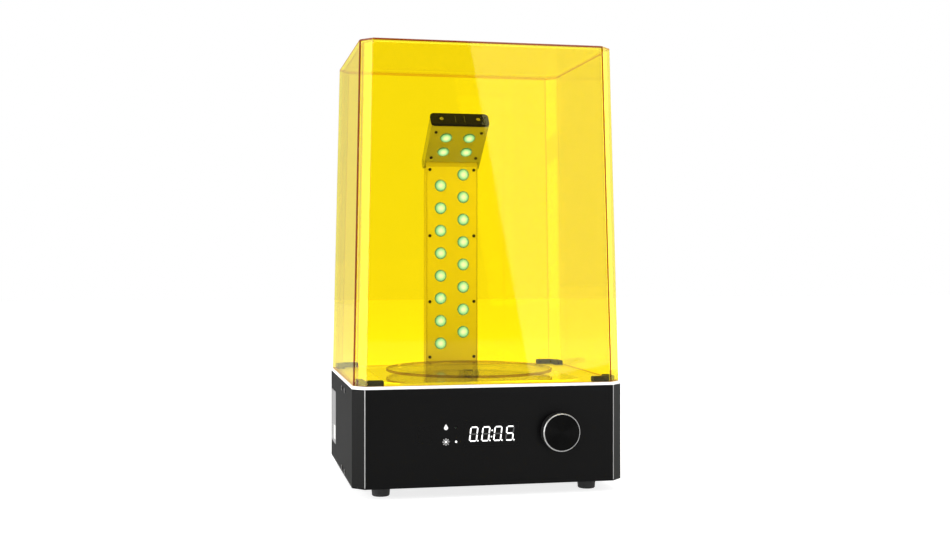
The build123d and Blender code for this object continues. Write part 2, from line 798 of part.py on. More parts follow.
with BuildPart() as knob:
    profile = [
        (0, 0),
        (knob_radius - 0.5, 0),
        (knob_radius, 0.5),
        (knob_radius, knob_height - 1.3),
        (knob_radius - 1.3, knob_height),
        (knob_skirt, knob_height),
        (knob_skirt - 0.6, knob_height - 0.5),
        (0, knob_height - 0.5),
    ]
    with BuildSketch(facing_up(knob_place[0], knob_foot_y, knob_place[1])):
        Polygon(*[(x, -y) for x, y in profile], align=None)
    revolve(axis=Axis((knob_place[0], 0, knob_place[1]), (0, 1, 0)))
    with BuildSketch(facing_front(knob_place[0], knob_foot_y, knob_place[1])):
        Circle(knob_skirt)
    extrude(amount=knob_recess, mode=Mode.SUBTRACT)
    with Locations(facing_rear(knob_place[0], knob_roof_y, knob_place[1])):
        Hole(encoder_shaft_radius + thread_gap, knob_bore)
write(knob, "knob")

# ---------------------------------------------------------------- power inlet and switch at the rear
with BuildPart() as power_jack:
    with BuildSketch(facing_front(jack_x, rear_y, inlet_z)):
        Circle(jack_radius)
    extrude(amount=jack_depth)
    with BuildSketch(facing_rear(jack_x, rear_y, inlet_z)):
        Circle(jack_radius + 1.8)
    extrude(amount=flange_rise)
    with BuildSketch(facing_front(jack_x, rear_y + flange_rise, inlet_z)):
        Circle(jack_bore)
        Circle(jack_pin, mode=Mode.SUBTRACT)
    extrude(amount=jack_depth, mode=Mode.SUBTRACT)
write(power_jack, "power_jack")

pivot_y = rear_y + flange_rise - rocker_pivot
pivot_radius = 1.5
rocker_foot = 3.0
rocker_gap = 0.4
rocker_reach = rocker_radius * sin(rocker_angle + radians(rocker_tilt))

with BuildPart() as switch_housing:
    with BuildSketch(facing_front(switch_x, rear_y, inlet_z)):
        Rectangle(*switch_body)
    extrude(amount=switch_depth)
    with BuildSketch(facing_rear(switch_x, rear_y, inlet_z)):
        RectangleRounded(*flange_size, 1.0)
    extrude(amount=flange_rise)
    with BuildSketch(facing_front(switch_x, rear_y + flange_rise, inlet_z)):
        Rectangle(rocker_width + 2 * fit_gap, 2 * (rocker_reach + rocker_gap))
    extrude(amount=rocker_pivot + rocker_foot * 2, mode=Mode.SUBTRACT)
    with Locations(facing_side(switch_x + switch_body[0] / 2, pivot_y, inlet_z, 1)):
        Hole(pivot_radius + run_gap, switch_body[0])
write(switch_housing, "switch_housing")

with BuildPart() as switch_rocker:
    tilt = radians(rocker_tilt)
    profile = [
        (rocker_face[0] - 1.6, 0),
        (rocker_face[0], rocker_face[1]),
        (-1.0, rocker_face[1]),
        (-rocker_foot, 4.0),
        (-rocker_foot, -4.0),
        (-1.0, -rocker_face[1]),
        (rocker_face[0], -rocker_face[1]),
    ]
    turned = [(y * cos(tilt) + z * sin(tilt), z * cos(tilt) - y * sin(tilt)) for y, z in profile]
    with BuildSketch(facing_side(switch_x - rocker_width / 2, pivot_y, inlet_z, 1)):
        Polygon(*turned, align=None)
    extrude(amount=rocker_width)
    with BuildSketch(facing_side(switch_x - switch_body[0] / 2, pivot_y, inlet_z, 1)):
        Circle(pivot_radius)
    extrude(amount=switch_body[0])
write(switch_rocker, "switch_rocker")

# ---------------------------------------------------------------- lamp column
plate_thickness = 2.0
plate_half = column_half - column_wall - fit_gap
plate_top = hinge_z - 6.0
ledge_width = 6.0
ledge_depth = 5.0
board_half = plate_half - ledge_width - fit_gap
lens_radius = 7.15
lens_edge = 0.9
lens_x = 14.0
lens_pitch = 27.4
lens_rows = 8
lens_top_z = hinge_z - 15.3
pin_radius = 2.0
pin_depth = 8.0
ear_gap = 0.4
ear_thickness = 2.0
lens_places = [(lens_x, lens_top_z - row * lens_pitch) for row in range(lens_rows)]
lens_places += [(-lens_x, lens_top_z - (row + 0.5) * lens_pitch) for row in range(lens_rows)]
column_screw_z = (hinge_z - 9.6, hinge_z - 90.0, hinge_z - 170.0, deck_top + 12.0)
column_plate_seats = [(sx * (plate_half - ledge_width / 2), z) for sx in (-1, 1) for z in column_screw_z]
cavity_z = deck_top + column_base
ledge_back = column_front + plate_thickness + ledge_depth

with BuildPart() as column_shell:
    with BuildSketch(facing_side(-column_half, hinge_y, 0, 1)):
        with Locations((0, (deck_top + hinge_z) / 2)):
            Rectangle(column_depth, hinge_z - deck_top)
        with Locations((0, hinge_z)):
            Circle(hinge_radius)
    extrude(amount=2 * column_half)
    with BuildSketch(facing_front(0, column_front, (deck_top + plate_top) / 2)):
        Rectangle(2 * (plate_half + fit_gap), plate_top - deck_top)
    extrude(amount=-plate_thickness, mode=Mode.SUBTRACT)
    with BuildSketch(facing_front(0, column_front, (cavity_z + plate_top) / 2)):
        Rectangle(2 * (board_half + fit_gap), plate_top - cavity_z)
    extrude(amount=column_wall - column_depth, mode=Mode.SUBTRACT)
    with BuildSketch(facing_front(0, ledge_back, (cavity_z + plate_top) / 2)):
        Rectangle(2 * plate_half, plate_top - cavity_z)
    extrude(amount=plate_thickness + ledge_depth + column_wall - column_depth, mode=Mode.SUBTRACT)
    with Locations([facing_front(x, column_front + plate_thickness, z) for x, z in column_plate_seats]):
        Hole(plate_screw.thread, ledge_depth)
    with Locations([facing_down(x, y, deck_top) for x, y in column_seats]):
        Hole(column_screw.thread, column_base)
    with Locations(facing_up(0, hinge_y, cavity_z)):
        Hole(lead_hole, column_base)
    with Locations([facing_side(side * column_half, hinge_y, hinge_z, side) for side in (-1, 1)]):
        Hole(pin_radius + run_gap, pin_depth)
write(column_shell, "column_shell")

with BuildPart() as column_plate:
    with BuildSketch(facing_front(0, column_front + plate_thickness, (deck_top + plate_top) / 2)):
        Rectangle(2 * plate_half, plate_top - deck_top)
    extrude(amount=plate_thickness)
    with Locations([facing_front(x, column_front, z) for x, z in lens_places]):
        Hole(lens_radius + fit_gap, plate_thickness)
    with Locations([facing_front(x, column_front, z) for x, z in column_plate_seats]):
        Hole(plate_screw.hole, plate_thickness)
write(column_plate, "column_plate")

with BuildPart() as column_board:
    with BuildSketch(facing_rear(0, column_front + plate_thickness, (cavity_z + plate_top) / 2)):
        Rectangle(2 * board_half, plate_top - cavity_z - 2 * fit_gap)
    extrude(amount=board_thickness)
write(column_board, "column_board")

with BuildPart() as column_lenses:
    for x, z in lens_places:
        with BuildSketch(facing_front(x, column_front + plate_thickness, z)):
            Circle(lens_radius)
        extrude(amount=plate_thickness + lens_proud)
    fillet(column_lenses.faces().filter_by(Axis.Y).group_by(Axis.Y)[0].edges(), lens_edge)
write(column_lenses, "column_lenses")

screws([facing_front(x, column_front, z) for x, z in column_plate_seats], plate_screw, "column_plate_screws")

# ---------------------------------------------------------------- lamp head, drawn upright on its hinge
head_tilt = 50.0
head_half = column_half + ear_gap + ear_thickness
head_start = hinge_radius + 1.0
head_plate_length = 57.5
cap_height = 3.0
head_end = head_reach - cap_height
cap_corner = 5.0
cap_boss = (3.2, 10.0)
cap_seats = (-22.0, 22.0)
head_wall = 1.6
head_inner = head_half - head_wall
head_screw_x = 27.5
head_board_half = head_screw_x - 2.5
head_lenses_at = [(sx * lens_x, head_start + along) for sx in (-1, 1) for along in (17.0, 40.3)]
head_plate_seats = [(sx * head_screw_x, head_start + along) for sx in (-1, 1) for along in (7.0, 49.0)]
head_front = -hinge_radius
head_centre = head_start + head_plate_length / 2
head_frame = Location((0, hinge_y, hinge_z), (head_tilt, 0, 0))


def on_head(plane):
    """Carries a plane from the upright head, with the hinge at its origin, to the tilted one."""
    return Plane(head_frame * plane.location)


with BuildPart() as head_shell:
    with BuildSketch(on_head(facing_side(-head_half, 0, 0, 1))):
        with Locations((0, head_end / 2)):
            Rectangle(column_depth, head_end)
        Circle(hinge_radius)
    extrude(amount=2 * head_half)
    with BuildSketch(on_head(facing_front(0, -column_depth, head_start / 2 - column_depth / 2))):
        Rectangle(2 * (head_half - ear_thickness), head_start + column_depth)
    extrude(amount=-2 * column_depth, mode=Mode.SUBTRACT)
    with BuildSketch(on_head(facing_front(0, head_front, head_centre))):
        Rectangle(2 * head_inner, head_plate_length)
    extrude(amount=-plate_thickness, mode=Mode.SUBTRACT)
    with BuildSketch(on_head(facing_front(0, head_front, head_centre))):
        Rectangle(2 * (head_board_half + fit_gap), head_plate_length - 2 * head_wall)
    extrude(amount=head_wall - column_depth, mode=Mode.SUBTRACT)
    with Locations([on_head(facing_front(x, head_front + plate_thickness, z)) for x, z in head_plate_seats]):
        Hole(plate_screw.thread, ledge_depth)
    with Locations([on_head(facing_up(x, 0, head_end)) for x in cap_seats]):
        Hole(cap_screw.thread, cap_boss[1])
    with Locations([on_head(facing_side(side * head_half, 0, 0, side)) for side in (-1, 1)]):
        Hole(pin_radius + thread_gap, ear_thickness)
write(head_shell, "head_shell")

with BuildPart() as head_plate:
    with BuildSketch(on_head(facing_front(0, head_front + plate_thickness, head_centre))):
        Rectangle(2 * (head_inner - fit_gap), head_plate_length - 2 * fit_gap)
    extrude(amount=plate_thickness)
    with Locations([on_head(facing_front(x, head_front, z)) for x, z in head_lenses_at]):
        Hole(lens_radius + fit_gap, plate_thickness)
    with Locations([on_head(facing_front(x, head_front, z)) for x, z in head_plate_seats]):
        Hole(plate_screw.hole, plate_thickness)
write(head_plate, "head_plate")

with BuildPart() as head_board:
    with BuildSketch(on_head(facing_rear(0, head_front + plate_thickness, head_centre))):
        Rectangle(2 * head_board_half, head_plate_length - 2 * head_wall - 2 * fit_gap)
    extrude(amount=board_thickness)
write(head_board, "head_board")

with BuildPart() as head_lenses:
    for x, z in head_lenses_at:
        with BuildSketch(on_head(facing_front(x, head_front + plate_thickness, z))):
            Circle(lens_radius)
        extrude(amount=plate_thickness + lens_proud)
    outward = Axis(head_frame.position, on_head(Plane.XZ).z_dir)
    fillet(head_lenses.faces().filter_by(outward).group_by(outward)[-1].edges(), lens_edge)
write(head_lenses, "head_lenses")

head_screw_seats = [on_head(facing_front(x, head_front, z)) for x, z in head_plate_seats]
screws(head_screw_seats, plate_screw, "head_plate_screws")

with BuildPart() as head_cap:
    with BuildSketch(on_head(facing_up(0, 0, head_end))):
        RectangleRounded(2 * (head_half + cap_overhang[0]), column_depth + 2 * cap_overhang[1], cap_corner)
    extrude(amount=cap_height)
    chamfer(head_cap.faces().sort_by(Axis(head_frame.position, on_head(Plane.XY).z_dir))[-1].edges(), 0.8)
    with Locations([on_head(facing_up(x, 0, head_end + cap_height)) for x in cap_seats]):
        CounterBoreHole(cap_screw.hole, cap_screw.head + 0.2, 0.9)
write(head_cap, "head_cap")

cap_screw_seats = [on_head(facing_up(x, 0, head_end + cap_height - 0.9)) for x in cap_seats]
screws(cap_screw_seats, cap_screw, "cap_screws")

with BuildPart() as hinge_pins:
    for side in (-1, 1):
        with BuildSketch(facing_side(side * head_half, hinge_y, hinge_z, side)):
            Circle(pin_radius)
        extrude(amount=0.2 - ear_thickness - ear_gap - pin_depth)
        with BuildSketch(facing_side(side * head_half, hinge_y, hinge_z, side)):
            Circle(pin_radius + 1.6)
        extrude(amount=1.0)
write(hinge_pins, "hinge_pins")

# ---------------------------------------------------------------- screws inside the base
inner_seats = [facing_down(x, y, deck_z - rail_thickness) for x, y in rail_seats]
inner_seats += [facing_down(x, table_y + y, deck_z - bracket_thickness) for x, y in bracket_seats]
inner_seats += [facing_up(x, table_y + y, bracket_z + bracket_thickness) for x, y in corners(motor_pitch / 2,
                                                                                            motor_pitch / 2)]
inner_seats += [facing_rear(x, board_y + board_thickness, z) for x, z in control_spacers]
inner_seats += [facing_up(x, driver_y + y, driver_z + board_thickness) for x, y in driver_seats]
screws(inner_seats, inner_screw, "inner_screws")
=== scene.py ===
import bmesh
import bpy
import json
from math import cos, pi, radians, sin, sqrt
from mathutils import Matrix, Vector


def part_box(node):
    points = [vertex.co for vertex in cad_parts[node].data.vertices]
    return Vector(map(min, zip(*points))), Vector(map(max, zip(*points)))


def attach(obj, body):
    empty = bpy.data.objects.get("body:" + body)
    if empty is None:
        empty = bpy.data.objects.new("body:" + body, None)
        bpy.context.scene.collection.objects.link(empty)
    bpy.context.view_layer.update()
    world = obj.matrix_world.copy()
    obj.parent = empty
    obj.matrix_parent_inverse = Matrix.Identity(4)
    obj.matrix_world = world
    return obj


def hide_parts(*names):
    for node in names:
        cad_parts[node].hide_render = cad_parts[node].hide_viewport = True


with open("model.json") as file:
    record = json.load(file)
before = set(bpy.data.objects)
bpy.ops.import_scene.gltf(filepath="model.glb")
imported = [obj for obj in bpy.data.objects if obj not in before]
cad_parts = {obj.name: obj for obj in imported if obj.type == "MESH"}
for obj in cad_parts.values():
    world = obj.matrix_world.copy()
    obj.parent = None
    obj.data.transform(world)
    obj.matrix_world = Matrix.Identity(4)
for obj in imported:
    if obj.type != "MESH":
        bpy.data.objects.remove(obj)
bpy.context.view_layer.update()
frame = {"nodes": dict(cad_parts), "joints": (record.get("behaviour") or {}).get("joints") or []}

# The whole scene is in metres, +Z up, with the front of the machine at -Y.
MM = 0.001


# ---------------------------------------------------------------- places read from the CAD frame
def corner(node, side):
    """The lowest (side 0) or highest (side 1) corner of a CAD node."""
    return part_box(node)[side]


FRONT = corner("front_panel", 0).y
REAR = corner("rear_panel", 1).y
BODY_Y = (FRONT + REAR) / 2


def middle(node):
    low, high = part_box(node)
    return (low + high) / 2


# ---------------------------------------------------------------- camera
CAMERA_X = -0.2826
CAMERA_BACK = 1.3077
CAMERA_HEIGHT = 0.2461
CAMERA_TURN = 11.25
LENS_LENGTH = 44.35
LENS_SHIFT = (0.0282, -0.0067)


def add_camera():
    """A level camera to the left of the machine and turned towards it. Its lens is shifted, not tilted."""
    data = bpy.data.cameras.new("camera")
    data.sensor_width = 36.0
    data.lens = LENS_LENGTH
    data.shift_x, data.shift_y = LENS_SHIFT
    camera = bpy.data.objects.new("camera", data)
    camera.location = (CAMERA_X, BODY_Y - CAMERA_BACK, CAMERA_HEIGHT)
    camera.rotation_euler = (radians(90), 0, radians(-CAMERA_TURN))
    bpy.context.scene.collection.objects.link(camera)
    bpy.context.scene.camera = camera


# ---------------------------------------------------------------- node helpers
def new_material(name):
    material = bpy.data.materials.new(name)
    material.use_nodes = True
    tree = material.node_tree
    return material, tree, tree.nodes["Principled BSDF"]


def node(tree, kind, **settings):
    made = tree.nodes.new(kind)
    for key, value in settings.items():
        setattr(made, key, value)
    return made


def noise(tree, scale, detail=3.0, stretch=(1, 1, 1)):
    """A noise whose scale is in turns per metre of the object, stretched along an axis if asked."""
    place = node(tree, "ShaderNodeTexCoord")
    mapping = node(tree, "ShaderNodeMapping")
    mapping.inputs["Scale"].default_value = stretch
    texture = node(tree, "ShaderNodeTexNoise")
    texture.inputs["Scale"].default_value = scale
    texture.inputs["Detail"].default_value = detail
    tree.links.new(place.outputs["Object"], mapping.inputs["Vector"])
    tree.links.new(mapping.outputs["Vector"], texture.inputs["Vector"])
    return texture.outputs["Fac"]


NOISE_LOW, NOISE_HIGH = 0.3, 0.7


def ranged(tree, value, low, high):
    """The part of a noise that matters, spread from low to high."""
    made = node(tree, "ShaderNodeMapRange")
    made.inputs["From Min"].default_value = NOISE_LOW
    made.inputs["From Max"].default_value = NOISE_HIGH
    made.inputs["To Min"].default_value = low
    made.inputs["To Max"].default_value = high
    tree.links.new(value, made.inputs["Value"])
    return made.outputs["Result"]


def shaded(tree, value, dark, light):
    """A colour that follows a noise from dark to light."""
    ramp = node(tree, "ShaderNodeValToRGB")
    for element, place, colour in zip(ramp.color_ramp.elements, (NOISE_LOW, NOISE_HIGH), (dark, light)):
        element.position = place
        element.color = (*colour, 1)
    tree.links.new(value, ramp.inputs["Fac"])
    return ramp.outputs["Color"]


def bump(tree, shader, value, height):
    made = node(tree, "ShaderNodeBump")
    made.inputs["Strength"].default_value = 1.0
    made.inputs["Distance"].default_value = height
    tree.links.new(value, made.inputs["Height"])
    tree.links.new(made.outputs["Normal"], shader.inputs["Normal"])


def scaled(colour, share):
    return tuple(channel * share for channel in colour)


CLOUD_SCALE = 14.0
ROUGH_SPREAD = 0.05


def finish_material(name, colour, rough, metallic=0.0, specular=0.5, grain=3000.0, height=0.02 * MM,
                    spread=0.15, stretch=(1, 1, 1)):
    """A surface whose colour varies in soft clouds, and whose roughness and bump follow a fine grain."""
    material, tree, shader = new_material(name)
    fine = noise(tree, grain, stretch=stretch)
    broad = noise(tree, CLOUD_SCALE, detail=4.0)
    colours = shaded(tree, broad, scaled(colour, 1 - spread / 2), scaled(colour, 1 + spread / 2))
    tree.links.new(colours, shader.inputs["Base Color"])
    tree.links.new(ranged(tree, fine, rough - ROUGH_SPREAD, rough + ROUGH_SPREAD), shader.inputs["Roughness"])
    shader.inputs["Metallic"].default_value = metallic
    shader.inputs["Specular IOR Level"].default_value = specular
    bump(tree, shader, fine, height)
    return material


def glow(name, inner, outer, strength):
    """Light that fades from the middle of each lens to its rim, read from the mesh's own rim value."""
    material, tree, shader = new_material(name)
    rim = node(tree, "ShaderNodeAttribute", attribute_name="rim")
    ramp = node(tree, "ShaderNodeValToRGB")
    for element, (place, colour) in zip(ramp.color_ramp.elements, ((0.15, inner), (1.0, outer[-1]))):
        element.position = place
        element.color = (*colour, 1)
    middle_stop = ramp.color_ramp.elements.new(0.7)
    middle_stop.color = (*outer[0], 1)
    speckle = noise(tree, 900.0)
    tree.links.new(rim.outputs["Fac"], ramp.inputs["Fac"])
    tree.links.new(ramp.outputs["Color"], shader.inputs["Base Color"])
    tree.links.new(ramp.outputs["Color"], shader.inputs["Emission Color"])
    tree.links.new(ranged(tree, speckle, 0.1, 0.2), shader.inputs["Roughness"])
    shader.inputs["Emission Strength"].default_value = strength
    return material


def emission(name, colour, strength):
    """An even light of its own, with a faint grain."""
    material, tree, shader = new_material(name)
    fine = noise(tree, 2500.0)
    tree.links.new(shaded(tree, fine, scaled(colour, 0.94), colour), shader.inputs["Emission Color"])
    shader.inputs["Base Color"].default_value = (*colour, 1)
    shader.inputs["Emission Strength"].default_value = strength
    return material


ACRYLIC_IOR = 1.49
ACRYLIC_ROUGH, ACRYLIC_HAZE = 0.02, 0.01


def see_through(name, tint, gloss):
    """Clear or tinted sheet: light passes straight through and takes the tint, under an edge-on gloss."""
    material, tree, shader = new_material(name)
    clear = node(tree, "ShaderNodeBsdfTransparent")
    shine = node(tree, "ShaderNodeBsdfGlossy")
    fresnel = node(tree, "ShaderNodeFresnel")
    share = node(tree, "ShaderNodeMath", operation="MULTIPLY")
    mix = node(tree, "ShaderNodeMixShader")
    haze = noise(tree, 30.0)
    tint_map = shaded(tree, haze, scaled(tint, 0.995), tint)
    tree.links.new(tint_map, clear.inputs["Color"])
    tree.links.new(ranged(tree, haze, ACRYLIC_ROUGH, ACRYLIC_ROUGH + ACRYLIC_HAZE), shine.inputs["Roughness"])
    fresnel.inputs["IOR"].default_value = ACRYLIC_IOR
    share.inputs[1].default_value = gloss
    tree.links.new(fresnel.outputs["Fac"], share.inputs[0])
    tree.links.new(share.outputs["Value"], mix.inputs["Fac"])
    tree.links.new(clear.outputs["BSDF"], mix.inputs[1])
    tree.links.new(shine.outputs["BSDF"], mix.inputs[2])
    tree.links.new(mix.outputs["Shader"], tree.nodes["Material Output"].inputs["Surface"])
    tree.nodes.remove(shader)
    return material


# ---------------------------------------------------------------- materials
BLACK = (0.0022, 0.0022, 0.0023)
materials = {
    "cover": see_through("amber_acrylic", (1.0, 0.9315, 0.19), gloss=0.35),
    # The two darker ambers are painted shade: they stand for the dark that the sheet's bends and edges show when
    # seen end on.
    "cover_line_shade": see_through("amber_line_shade", (0.80, 0.52, 0.12), gloss=0.35),
    "cover_edge_shade": see_through("amber_edge_shade", (0.34, 0.07, 0.02), gloss=0.35),
    "disc": see_through("clear_acrylic", (0.995, 0.985, 0.95), gloss=0.4),
    # A darker tint for the disc's rim and cut rings: painted shade for the sheet seen edge on.
    "disc_edge_shade": see_through("clear_edge_shade", (0.55, 0.40, 0.22), gloss=0.4),
    "paint": finish_material("black_paint", BLACK, 0.34, specular=0.07, grain=2600.0),
    "side_paint": finish_material("side_paint", (0.010, 0.010, 0.010), 0.72, specular=0.05, grain=2600.0),
    "post": finish_material("post_paint", (0.006, 0.006, 0.006), 0.5, specular=0.08, grain=2600.0),
    # A light grey for the thin strips on the front's upright edges: a painted highlight along each edge.
    "bevel": finish_material("painted_bevel_highlight", (0.30, 0.30, 0.30), 0.35, metallic=0.3, grain=1500.0,
                             height=0.004 * MM),
    "plastic": finish_material("black_plastic", (0.006, 0.006, 0.006), 0.55, specular=0.15, grain=5000.0,
                               height=0.03 * MM),
    "rubber": finish_material("rubber", (0.01, 0.01, 0.01), 0.7, grain=1800.0, height=0.04 * MM),
    "deck": finish_material("bright_deck", (0.86, 0.85, 0.84), 0.3, metallic=0.2, grain=400.0,
                            height=0.004 * MM, spread=0.04, stretch=(1, 12, 12)),
    "mirror": finish_material("mirror", (0.88, 0.87, 0.84), 0.1, metallic=1.0, grain=60.0, height=0.002 * MM,
                              spread=0.03),
    "lamp": finish_material("lamp_metal", (0.68, 0.63, 0.58), 0.42, metallic=0.35, grain=500.0,
                            height=0.006 * MM, spread=0.06, stretch=(12, 12, 1)),
    "lamp_shell": finish_material("lamp_shell", (0.52, 0.47, 0.42), 0.42, metallic=0.35, grain=500.0,
                                  height=0.006 * MM, spread=0.06, stretch=(12, 12, 1)),
    # A darker copy of the lamp's metal for the head: painted shade for the head's lower face, which is turned
    # away from the light.
    "lamp_head": finish_material("lamp_head", (0.36, 0.36, 0.34), 0.42, metallic=0.35, grain=500.0,
                                 height=0.006 * MM, spread=0.06, stretch=(12, 1, 12)),
    "cap": finish_material("cap_plastic", (0.002, 0.002, 0.002), 0.5, specular=0.05, grain=5000.0,
                           height=0.02 * MM),
    "rib": finish_material("rib_grey", (0.05, 0.05, 0.055), 0.5, specular=0.2, grain=2000.0,
                           height=0.004 * MM),
    "cap_screw": finish_material("black_oxide", (0.16, 0.15, 0.13), 0.3, metallic=1.0, grain=900.0,
                                 height=0.005 * MM),
    "steel": finish_material("steel", (0.5, 0.5, 0.5), 0.3, metallic=1.0, grain=900.0, height=0.005 * MM),
    "dark_steel": finish_material("dark_screw", (0.02, 0.018, 0.016), 0.35, metallic=0.8, grain=900.0,
                                  height=0.005 * MM),
    "zinc": finish_material("zinc_plate", (0.62, 0.63, 0.65), 0.38, metallic=0.9, grain=260.0,
                            height=0.008 * MM),
    "brass": finish_material("brass", (0.72, 0.52, 0.22), 0.3, metallic=1.0, grain=900.0, height=0.005 * MM),
    "magnet": finish_material("nickel", (0.66, 0.65, 0.62), 0.18, metallic=1.0, grain=700.0,
                              height=0.003 * MM),
    "board": finish_material("board", (0.02, 0.11, 0.045), 0.35, grain=700.0, height=0.01 * MM, spread=0.3),
    "smoked": finish_material("smoked_window", (0.0022, 0.0022, 0.0023), 0.3, specular=0.07, grain=200.0,
                              height=0.001 * MM),
    "label": finish_material("label_grey", (0.16, 0.16, 0.16), 0.5, grain=1500.0, height=0.008 * MM),
    "label_white": finish_material("label_white", (0.75, 0.75, 0.75), 0.5, grain=1500.0, height=0.008 * MM),
    "print": finish_material("white_print", (0.85, 0.85, 0.85), 0.5, grain=4000.0, height=0.003 * MM),
}

NODE_FINISH = {
    "paint": ("front_panel", "rear_panel", "bottom_tray"),
    "side_paint": ("left_side_panel", "right_side_panel"),
    "post": ("corner_posts",),
    "cap": ("head_cap",),
    "plastic": ("cover_locators", "drive_motor", "magnet_rotor", "display_module", "encoder_body",
                "press_plunger", "power_jack", "switch_housing", "switch_rocker", "hub_bush"),
    "rubber": ("feet", "lamp_lead"),
    "deck": ("deck_plate",),
    "mirror": ("reflector_sheet",),
    "lamp": ("column_plate",),
    "lamp_shell": ("column_shell",),
    # The head's shell and plate take the darker copy of the lamp metal: painted shade.
    "lamp_head": ("head_shell", "head_plate"),
    "cap_screw": ("cap_screws",),
    "steel": ("foot_screws", "motor_shaft", "hub_screws", "column_screws", "hinge_pins",
              "encoder_shaft", "inner_screws"),
    "dark_steel": ("panel_screws", "locator_screws", "post_screws", "column_plate_screws",
                   "head_plate_screws"),
    "zinc": ("motor_bracket", "deck_rails"),
    "brass": ("deck_spindle", "board_spacers", "encoder_nut"),
    "magnet": ("rotor_magnets", "hub_magnets"),
    "board": ("column_board", "head_board", "control_board", "driver_board"),
    "smoked": ("display_window", "touch_pad"),
    "disc": ("turntable_disc", "turntable_hub", "indicator_pipes"),
    "label": ("side_label",),
}


def paint_cad_nodes():
    for finish, names in NODE_FINISH.items():
        for name in names:
            mesh = frame["nodes"][name].data
            mesh.materials.clear()
            mesh.materials.append(materials[finish])
    for name in ("cover", "column_lenses", "head_lenses", "knob"):
        frame["nodes"][name].data.materials.clear()
        frame["nodes"][name].data.materials.append(materials["plastic"])


# ---------------------------------------------------------------- mesh helpers
def piece(name, bm, body, slot, *finishes, smooth=30.0):
    """Turns a bmesh into a piece that rides on a body."""
    mesh = bpy.data.meshes.new(name)
    bmesh.ops.recalc_face_normals(bm, faces=bm.faces)
    bm.to_mesh(mesh)
    bm.free()
    mesh.shade_smooth()
    mesh.set_sharp_from_angle(angle=radians(smooth))
    for finish in finishes:
        mesh.materials.append(materials[finish])
    made = bpy.data.objects.new(name, mesh)
    bpy.context.scene.collection.objects.link(made)
    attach(made, body)
    return made


def ring_verts(bm, points):
    return [bm.verts.new(point) for point in points]


def join_rings(bm, first, second, material=0):
    """Quads between two closed rings with the same number of points."""
    faces = []
    count = len(first)
    for i in range(count):
        j = (i + 1) % count
        face = bm.faces.new((first[i], first[j], second[j], second[i]))
        face.material_index = material
        faces.append(face)
    return faces


def turns(steps):
    return [2 * pi * i / steps for i in range(steps)]


def prism(bm, foot_points, top_points):
    """A closed block between two outlines."""
    foot, top = ring_verts(bm, foot_points), ring_verts(bm, top_points)
    join_rings(bm, foot, top)
    bm.faces.new(top)
    bm.faces.new(foot[::-1])


# ---------------------------------------------------------------- cover
# The CAD cover's wall, its taper on each side and the width of its cut corners.
COVER_CUT = 12.5 * MM
COVER_WALL = 3.0 * MM
COVER_TAPER = 7.5 * MM
COVER_RIM = 0.7 * MM
FOOT_INSET, FOOT_RISE = 0.3 * MM, 0.5 * MM
# How wide the darker lines of painted shade are, at two of the eight corners, counted from the right rear, and
# along the roof.
STRONG_CORNERS = {4: 2.2 * MM, 6: 1.1 * MM}
PLAIN_CORNER = 0.35 * MM
DARK_RIMS = (4, 5)
RIM_LINE = 2.2 * MM


def octagon(half_x, half_y, cut, z):
    """A rectangle with cut corners, each of its eight corners rounded by two short steps."""
    corners = []
    for sx, sy in ((1, 1), (-1, 1), (-1, -1), (1, -1)):
        pair = [Vector((sx * half_x, sy * (half_y - cut))), Vector((sx * (half_x - cut), sy * half_y))]
        corners += pair if sx * sy > 0 else pair[::-1]
    points = []
    for i, point in enumerate(corners):
        width = STRONG_CORNERS.get(i, PLAIN_CORNER)
        before = (corners[i - 1] - point).normalized() * width
        after = (corners[(i + 1) % 8] - point).normalized() * width
        for shift in (before, (before + after) * 0.25, after):
            points.append((point.x + shift.x, BODY_Y + point.y + shift.y, z))
    return points


def edge_finish(level, i):
    """0 amber, 1 a darker tint of painted shade where the sheet's edges are seen end on, 2 a fainter line of
    painted shade.
    """
    place, on_corner = i // 3, i % 3 != 2
    if on_corner and level in (1, 2):
        return 1 if place in STRONG_CORNERS else 2
    if level >= 2:
        return 1 if place in DARK_RIMS else 2
    return 0 if level == 1 else 2


def add_cover():
    """The tapered shell with its roof, open below, and its sheet edges and bends picked out in darker tints of
    painted shade.
    """
    low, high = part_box("cover")
    foot = ((high.x - low.x) / 2, (high.y - low.y) / 2)
    height = high.z - low.z

    def ring(z, inset, cut):
        pull = COVER_TAPER * (z - low.z) / height + inset
        return octagon(foot[0] - pull, foot[1] - pull, cut, z)

    bm = bmesh.new()
    roof = high.z - COVER_WALL
    inner_cut = COVER_CUT - COVER_WALL * (2 - sqrt(2))
    outers = [ring_verts(bm, ring(z, inset, COVER_CUT)) for z, inset in (
        (low.z, FOOT_INSET), (low.z + FOOT_RISE, 0), (high.z - RIM_LINE, 0), (high.z - COVER_RIM, 0),
        (high.z, COVER_RIM))]
    inners = [ring_verts(bm, ring(z, COVER_WALL + inset, inner_cut)) for z, inset in (
        (low.z, 0), (roof - COVER_RIM, 0), (roof, COVER_RIM))]
    for level, (first, second) in enumerate(zip(outers, outers[1:])):
        for i, face in enumerate(join_rings(bm, first, second)):
            face.material_index = edge_finish(level, i)
    for level, (first, second) in enumerate(zip(inners, inners[1:])):
        join_rings(bm, first, second, material=2 * level)
    bm.faces.new(outers[-1])
    bm.faces.new(inners[-1])
    join_rings(bm, outers[0], inners[0], material=2)
    made = piece("cover_shell", bm, "cover", "clear_amber", "cover", "cover_edge_shade", "cover_line_shade", smooth=5.0)
    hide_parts("cover")


